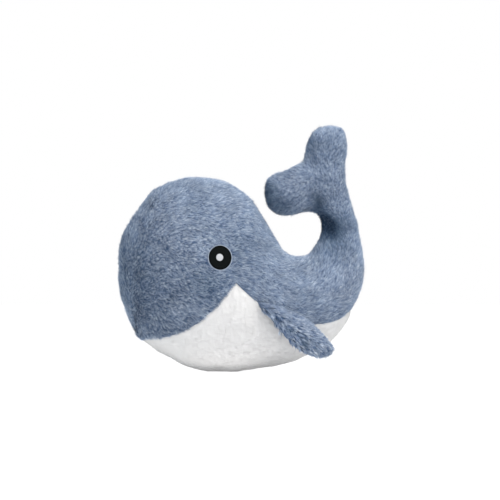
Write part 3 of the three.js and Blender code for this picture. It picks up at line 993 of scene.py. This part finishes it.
def disc(name, side, wide, tall, height, rings, around, mat, node=None, shift=(0, 0)):
    """A cloth disc that follows the cheek. height gives how far it lies over the pile's tips, by radius and
    angle, and a ring past 1 is its rim, turned in."""
    centre, across, rise, normal = eye_frame(side)
    points = []
    for radius in rings:
        for k in range(around if radius > 0 else 1):
            angle = 2 * np.pi * k / around
            u = shift[0] + wide / 2 * min(radius, 1.0) * math.cos(angle)
            v = shift[1] + tall / 2 * min(radius, 1.0) * math.sin(angle)
            above = centre + across * u + rise * v + normal * 20
            hit = outer_tree.ray_cast(Vector(above), Vector(-normal))[0]
            points.append(np.array(hit) + normal * height(radius, angle))
    points = np.array(points)
    k = np.arange(around)
    nxt = (k + 1) % around
    tris = [np.stack([np.zeros_like(k), 1 + k, 1 + nxt], 1)]
    for inner in range(1, len(points) - around, around):
        outer = inner + around
        corners = [inner + k, outer + k, outer + nxt, inner + k, outer + nxt, inner + nxt]
        tris.append(np.stack(corners, 1).reshape(-1, 3))
    tris = np.concatenate(tris)
    if face_normals(points, tris).sum(0) @ normal < 0:
        tris = tris[:, ::-1]
    piece(name, new_mesh(name, points, tris), mat, "body", node)


def eye_height(r, angle):
    """A domed disc with a ridge of stitches near its edge."""
    if r > 1:
        return 0.7 - (r - 1) * 40
    ridge = 0.0
    if r < 0.995:
        ridge = 0.16 * (0.5 + 0.5 * math.cos(angle * STITCHES)) * max(0.0, (r - 0.86) / 0.14)
    return 0.75 + 0.35 * (1 - r ** 4) + ridge - 0.35 * max(0.0, (r - 0.93) / 0.07) ** 2


def glint_height(r, angle):
    if r > 1:
        return 1.0 - (r - 1) * 20
    return 1.45 + 0.25 * (1 - r ** 3) - 0.3 * max(0.0, (r - 0.8) / 0.2) ** 2


def rim_height(r, angle):
    if r > 1:
        return -(r - 1) * 40
    return 0.075 * math.cos(angle * RIM_STITCHES) + 0.1


def eye(word, side):
    disc(f"eye_{word}_disc", side, EYE_WIDE - 0.8, EYE_TALL - 0.8, eye_height, EYE_RINGS, 4 * STITCHES,
         felt_black, f"eye_{word}")
    disc(f"eye_{word}_edge_stitch", side, EYE_WIDE + 0.7, EYE_TALL + 0.7, rim_height, RIM_RINGS,
         4 * RIM_STITCHES, rim_thread)
    disc(f"eye_glint_{word}_dot", side, GLINT_WIDE, GLINT_TALL, glint_height, GLINT_RINGS, 96,
         felt_pale, f"eye_glint_{word}", GLINT_SHIFT)


eye("left", -1)
eye("right", 1)


# pile on the body
def inside_eye(points, side, grow):
    """Whether each point lies over the eye, drawn larger by grow."""
    centre, across, rise, _ = eye_frame(side)
    d = points - centre
    share = ((d @ across) / (EYE_WIDE / 2 + grow)) ** 2 + ((d @ rise) / (EYE_TALL / 2 + grow)) ** 2
    return (share < 1) & (points[:, 1] * side > 0)


# painted shade round these places of the side view, and painted light where the amount is below 0: x, z,
# radius and how much darker
PAINTED_LIGHT_AND_SHADE_SPOTS = [
    [27, 173, 12, .52], [29, 186, 8, .42], [44, 165, 12, .36], [69, 228, 8, .25], [55, 190, 14, -.16],
    [84, 151, 8, .4], [94, 146, 12, .32], [90, 128, 17, .34], [77, 171, 7, .22], [-74, 146, 28, -.12],
    [-112, 126, 24, .18], [-112, 78, 30, .27], [-4, 126, 24, .19], [104, 84, 22, -.17],
    [110, 150, 16, .16], [86, 224, 15, .17], [-35, 88, 17, .35], [-52, 168, 16, .1],
]


def painted_light_and_shade_at(points):
    """Painted shade and light on the pile at each point: darker in the valley under the front fluke and round
    the spots, lighter round spots with an amount below 0.
    """
    # painted shade in the valley between the front fluke and the stalk
    dark = 0.66 * valley(points)
    for x, z, radius, amount in PAINTED_LIGHT_AND_SHADE_SPOTS:
        dark = dark + amount * np.exp(-((points[:, 0] - x) ** 2 + (points[:, 2] - z) ** 2) / radius ** 2)
    return 1 - np.clip(dark, -0.15, 0.86)


# where the pieces of each side's pile begin and end, as shares of the length
REGIONS = {"face": (-1, .16), "brow": (.16, .36), "cheek": (.36, .52), "back": (.52, .74), "tail": (.74, 2)}
IN_TAIL = 1.5


def side_pile(word, side, seed):
    r = np.random.default_rng(seed)
    at, out = scattered(*skins[f"side_panel_{word}"], BLUE_DENSITY, r)
    keep = ~inside_eye(at, side, -0.8)
    at, out = at[keep], out[keep]
    high = rising(at[:, 2], 125, 20) * rising(at[:, 0], 5, 15)
    long = BLUE_LONG * (1 + 0.12 * waves(at, 25, 31)) * np.clip(0.75 + np.abs(above_seam(at)) / 12, 0, 1)
    long = long * np.clip(0.75 + np.abs(at[:, 1]) / 16, 0, 1) * (1 - 0.14 * high)
    lean = BLUE_LEAN - 0.12 * high + 0.1 * waves(at, 18, 33)
    tufts = {"clumps": 5, "gather": 0.55 - 0.1 * high, "wander": 0.5 + 0.45 * high}
    pile = fibres(at, out, nap(at, out), long, BLUE_WIDE, lean, r, **tufts)
    # painted shade and light on the body pile, by place
    pile["painted_light_and_shade"] = painted_light_and_shade_at(at)
    calm = np.maximum(rising(at[:, 0], -25, 50), rising(at[:, 2], 110, 70))
    pile["shade"] = np.clip(0.5 + (pile["shade"] - 0.5) * (1.25 - 0.5 * calm), 0, 1)
    over_eye = inside_eye(pile["tips"], side, -0.4)
    pile = kept(pile, ~(over_eye | (pile["tips"][:, 2] < 0.2)))
    share = pile["at"][:, 0] / LENGTH + 0.5
    share = np.where((pile["at"][:, 2] > 0.56 * HEIGHT) & (share > 0.56), IN_TAIL, share)
    for region, (start, end) in REGIONS.items():
        chosen = (share >= start) & (share < end)
        pile_mesh(f"pile_{word}_{region}", kept(pile, chosen), blue_pile, "body")


def belly_pile(seed):
    r = np.random.default_rng(seed)
    at, out = scattered(*skins["belly_panel"], WHITE_DENSITY, r)
    tufts = {"clumps": 4, "gather": 0.3, "wander": 0.6, "roundly": 0.05}
    pile = fibres(at, out, nap(at, out), WHITE_LONG, WHITE_WIDE, WHITE_LEAN, r, **tufts)
    for key in ("roots", "bends", "tips"):
        pile[key][..., 2] = np.maximum(pile[key][..., 2], 0.02)
    is_left = at[:, 1] < 0
    for word, chosen in (("left", is_left), ("right", ~is_left)):
        pile_mesh(f"pile_belly_{word}", kept(pile, chosen), white_pile, "body")


side_pile("left", -1, 20)
side_pile("right", 1, 21)
belly_pile(22)

# flippers, in their own frame: x along the root, -z away from it and y out of the outer face
flat, flat_tris = flipper_loft(start=-2.5, run=FLIP_LENGTH - 1, upper_inset=0.64, lower_inset=0, thinner=1.6)
flat = smoothed(flat, flat_tris, 1)
flat, flat_tris, is_outer = cut(flat, flat_tris, flat[:, 1])
# how far the free edge lies from the root, as a share of the reach, at each share of the length
EDGE_ALONG = [0, .06, .2, .37, .54, .7, .84, .945, 1]
EDGE_AWAY = [.06, .19, .46, .71, .9, .99, .99, .9, .72]


def placed(points, word):
    """Points of the flipper's own frame where the flipper is sewn on."""
    origin, along, away, face = np.array(FLIPPERS[word])
    return origin + points[:, :1] * along - points[:, 2:] * away + points[:, 1:2] * face


def flipper_skin(word, panel):
    """One panel of a flipper in place: points, triangles and normals that point out of it."""
    points, tris = taken(flat, flat_tris, is_outer if panel == "outer" else ~is_outer)
    points = placed(points, word)
    if word == "right":
        tris = tris[:, ::-1]
    normals = normals_of(points, tris)
    if (normals.mean(0) @ np.array(FLIPPERS[word][3]) > 0) != (panel == "outer"):
        tris, normals = tris[:, ::-1], -normals
    return points, tris, normals


def flipper_nap(at, out, s, to_edge, along, away):
    """The pile lies along the flipper, turns down toward its free edge and fans out at its tip."""
    near_root = to_edge ** 2 * np.clip(1 - s / 0.5, 0, 1)
    fan = rising(s, 0.7, 0.3) * (to_edge - 0.55) * 1.4
    down = 0.3 + 0.75 * to_edge ** 2 * np.clip(1.25 - s, 0, 1) + 0.6 * near_root + fan
    way = unit(along * (1 - 0.4 * near_root)[:, None] + away * down[:, None])
    way = way + np.cross(out, way) * 0.25 * waves(at, 16, 51)[:, None]
    return along_skin(way, out)


def hanging_tufts(at, out, s, lit, along, away, r):
    """The long tufts that hang from the edge near the root."""
    down = along_skin(unit(away + along * 0.3), out)
    long = TUFT_LONG * np.clip(1.3 - 1.2 * s, 0.6, 1)
    tufts = {"clumps": 22, "gather": 0.88, "wander": 0.35, "bend": 0.25, "early": 0.8}
    pile = fibres(at, out, down, long, TUFT_WIDE, TUFT_LEAN, r, lit=lit, **tufts)
    pile["shade"] = np.clip(pile["shade"] - 0.25, 0, 1)
    return pile


def painted_gap_shade(a, b, s, to_edge):
    """Painted shade between the tufts, a little inside the free edge: how bright the pile is painted there.
    """
    gaps = waves(np.stack([a - b, np.zeros_like(a), 0.22 * (a + b)], 1), 5.5, 52)
    zone = np.exp(-(((to_edge - 0.8) / 0.17) ** 2)) * rising(s, 0, 0.08) * falling(s, 0.8, 0.15)
    return 1 - 0.62 * zone * np.clip(0.15 + gaps, 0, 1)


def flipper_pile(word, panel, points, tris, normals, seed):
    origin, along, away, face = np.array(FLIPPERS[word])
    r = np.random.default_rng(seed)
    at, out = scattered(points, tris, normals, FLIPPER_DENSITY, r)
    a, b = (at - origin) @ along, (at - origin) @ away
    s = a / FLIP_LENGTH
    to_edge = np.clip(b / FLIP_REACH / np.maximum(0.3, np.interp(s, EDGE_ALONG, EDGE_AWAY)), 0, 1)
    tufty = np.clip((to_edge - 0.25) * 2.2, 0, 1) * np.clip(1.35 - s * 1.2, 0, 1)
    long = (FLIPPER_LONG + FLIPPER_LONG * tufty) * np.clip(1.15 - 0.7 * s ** 3, 0.5, 1)
    lean = BLUE_LEAN - 0.12 * tufty
    if panel == "inner":
        tufty = np.zeros_like(tufty)
        long = np.clip(3.4 - 1.6 * to_edge ** 3, 1.2, 4)
    lit = unit(out + face * (1.3 * np.clip(to_edge * 2 - 0.9, 0, 1) * (panel == "outer"))[:, None])
    tied = (0.5 + 0.32 * tufty) * (1 - 0.7 * rising(s, 0.75, 0.2))
    tufts = {"clumps": 9, "gather": tied, "wander": 0.24, "bend": 0.2, "early": (0.4 + 0.35 * tufty)[:, None]}
    way = flipper_nap(at, out, s, to_edge, along, away)
    pile = fibres(at, out, way, long, FLIPPER_WIDE, lean, r, lit=lit, **tufts)
    shade = pile["shade"] - 0.5
    contrast = np.where(shade > 0, 0.52 + 0.34 * tufty, 0.7 + 1.1 * tufty)
    # the pile is painted lighter toward the flipper's tip: painted light
    pile["shade"] = np.clip(0.4 + 0.08 * np.clip(s, 0, 1) + contrast * shade, 0, 1)
    if panel == "outer":
        hung = (to_edge > 0.72) & (s > 0.02) & (s < 0.5)
        more = hanging_tufts(at[hung], out[hung], s[hung], lit[hung], along, away, r)
        # painted shade between the tufts near the free edge
        pile["painted_light_and_shade"] = painted_gap_shade(a, b, s, to_edge)
        pile = {key: np.concatenate([pile[key], more[key]]) for key in pile}
    pile_mesh(f"pile_flipper_{word}_{panel}", pile, long_pile, f"flipper_{word}", True)


def flipper(word, seed):
    for panel, panel_seed in (("outer", seed), ("inner", seed + 10)):
        points, tris, normals = flipper_skin(word, panel)
        name = f"flipper_{word}_{panel}_panel"
        me = new_mesh(name, *turned_in(points, tris, normals, 0.6))
        piece(name + "_cloth", me, blue_backing, f"flipper_{word}", name)
        flipper_pile(word, panel, points, tris, normals, panel_seed)


flipper("left", 40)
flipper("right", 41)


# wadding inside
def stuffing(part, body, points, tris):
    me = new_mesh(f"{part}_stuffing", points, tris)
    piece(f"{part}_stuffing", me, wadding, body, f"{part}_wadding")


stuffing("body", "body", *body_loft(6.5, 4, 48, (0, .56)))
stuffing("tail", "body", *body_loft(6.5, 3, 40, (.58, .8)))
stuffing("front_fluke", "body", *fluke_loft(FRONT_FLUKE, 6.0, 4, 32, (.04, .8)))
stuffing("rear_fluke", "body", *fluke_loft(REAR_FLUKE, 6.0, 4, 32, (.04, .85)))
filled, filled_tris = flipper_loft(
    start=6.0, run=FLIP_LENGTH - 18, upper_inset=3.5, lower_inset=4.5, thinner=3.2, per_rib=3, around=24
)
for hand in ("left", "right"):
    stuffing(f"flipper_{hand}", f"flipper_{hand}", *outward(placed(filled, hand), filled_tris))

# floor, light and camera, in metres
WHITE = (1, 1, 1, 1)
FLOOR_HALF = 6
TABLE_GLOW = 0.34
scene = bpy.context.scene
scene.view_settings.view_transform = "Standard"


def table_top():
    corners = [(x * FLOOR_HALF, y * FLOOR_HALF, 0) for x, y in ((-1, -1), (1, -1), (1, 1), (-1, 1))]
    me = bpy.data.meshes.new("floor")
    me.from_pydata(corners, [], [(0, 1, 2, 3)])
    mat, shader = material("pale floor")
    grain = add(mat, "ShaderNodeTexNoise", Scale=3.0, Detail=2.0)
    tint = ramp(mat, grain.outputs["Fac"], [(0.3, (0.94,) * 3), (0.7, (0.95,) * 3)])
    join(mat, tint, shader.inputs["Base Color"])
    # the table top glows softly, as the light tables of product photos do, and lights the belly's underside
    # so that it isn't black
    set_inputs(shader, {"Roughness": 0.9, "Specular IOR Level": 0.0, "Emission Color": WHITE,
                        "Emission Strength": TABLE_GLOW})
    mat.cycles.emission_sampling = "NONE"
    # the camera sees it nearly white
    glow = add(mat, "ShaderNodeEmission", Color=WHITE, Strength=1.08)
    path = add(mat, "ShaderNodeLightPath")
    seen = add(mat, "ShaderNodeMath", operation="MULTIPLY")
    seen.inputs[1].default_value = 0.9
    join(mat, path.outputs["Is Camera Ray"], seen.inputs[0])
    mixer = add(mat, "ShaderNodeMixShader")
    for i, output in enumerate((seen.outputs[0], shader.outputs[0], glow.outputs[0])):
        join(mat, output, mixer.inputs[i])
    out = next(node for node in mat.node_tree.nodes if node.type == "OUTPUT_MATERIAL")
    join(mat, mixer.outputs[0], out.inputs["Surface"])
    me.materials.append(mat)
    new_object("floor", me)


def surroundings():
    """A cool fill light from all round, which the camera sees as white."""
    world = bpy.data.worlds.new("studio")
    scene.world = world
    world.use_nodes = True
    world.node_tree.nodes.clear()
    path = add(world, "ShaderNodeLightPath")
    fill = add(world, "ShaderNodeBackground", Color=(0.88, 0.945, 1.0, 1), Strength=0.5)
    seen = add(world, "ShaderNodeBackground", Color=WHITE, Strength=1.0)
    mixer = add(world, "ShaderNodeMixShader")
    for i, output in enumerate((path.outputs["Is Camera Ray"], fill.outputs[0], seen.outputs[0])):
        join(world, output, mixer.inputs[i])
    join(world, mixer.outputs[0], add(world, "ShaderNodeOutputWorld").inputs[0])


def aimed(ob, place, target):
    """Puts a lamp or camera at a place and turns it to its target."""
    scene.collection.objects.link(ob)
    ob.location = place
    ob.rotation_mode = "QUATERNION"
    ob.rotation_quaternion = (Vector(target) - Vector(place)).to_track_quat("-Z", "Y")
    return ob


def softbox(name, place, target, size, power, colour=(1, 1, 1)):
    light = bpy.data.lights.new(name, "AREA")
    light.color = colour
    light.shape = "DISK"
    light.size = size
    light.energy = power
    aimed(bpy.data.objects.new(name, light), place, target)


table_top()
surroundings()
softbox("key", (0.5, -0.9, 1.85), (0, 0, 0.1), 0.8, 36, (1, 0.975, 0.93))
softbox("front", (0.05, -1.8, 0.14), (0, 0, 0.08), 1.2, 9.5, (1, 0.99, 0.985))
softbox("side", (1.6, -1.0, 0.2), (0, 0, 0.08), 1.0, 3)
softbox("cool", (-1.7, -0.7, 0.6), (-0.05, 0, 0.1), 1.0, 3.2, (0.72, 0.9, 1))
softbox("back", (0.3, 1.6, 1.3), (0, 0, 0.1), 1.0, 12)

# the camera looks along +y from far away, and the picture's width shows VIEW_WIDE at the whale
SENSOR, DISTANCE, VIEW_WIDE = 36, 5.0, 0.506
AIM = Vector((0.0086, 0.0, 0.1232))
camera = bpy.data.cameras.new("camera")
camera.sensor_width = SENSOR
camera.lens = SENSOR * DISTANCE / VIEW_WIDE
camera.clip_start, camera.clip_end = 0.1, 50
scene.camera = aimed(bpy.data.objects.new("camera", camera), AIM + Vector((0, -DISTANCE, 0)), AIM)
